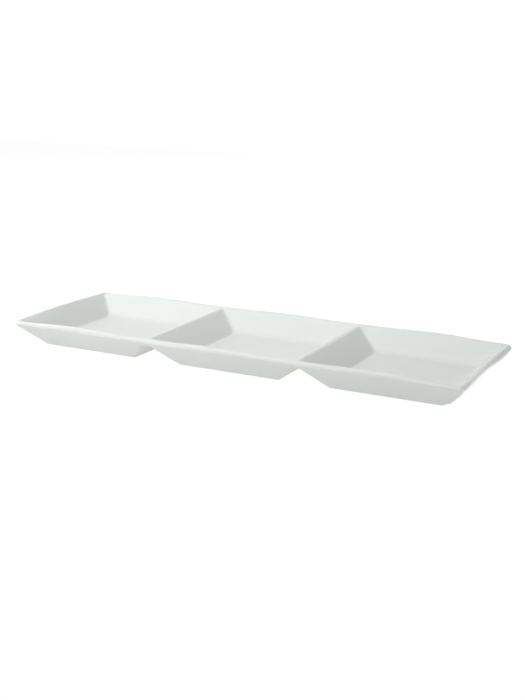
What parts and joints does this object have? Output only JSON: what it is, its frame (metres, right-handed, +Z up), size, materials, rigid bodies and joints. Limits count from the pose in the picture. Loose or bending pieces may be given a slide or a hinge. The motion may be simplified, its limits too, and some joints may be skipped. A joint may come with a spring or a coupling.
{
  "type": "divided serving dish",
  "caption": "Long shallow rectangular serving dish in white glazed porcelain, divided by low ridges into square sloping-sided wells.",
  "frame": {"origin": "middle of the dish, on the surface it stands on", "axes": "+X along the dish's length, +Y across it towards the back in the picture, +Z up"},
  "size_m": [0.36, 0.122, 0.0217],
  "materials": {
    "glaze": "glossy white glaze over white porcelain, faintly cool",
    "biscuit": "bare matte fired clay, slightly warm"
  },
  "bodies": {
    "root": {"left_well": "glaze", "middle_well": "glaze", "right_well": "glaze", "left_ridge": "glaze", "right_ridge": "glaze", "rim": "glaze", "left_foot": "biscuit", "middle_foot": "biscuit", "right_foot": "biscuit"}
  },
  "joints": []
}
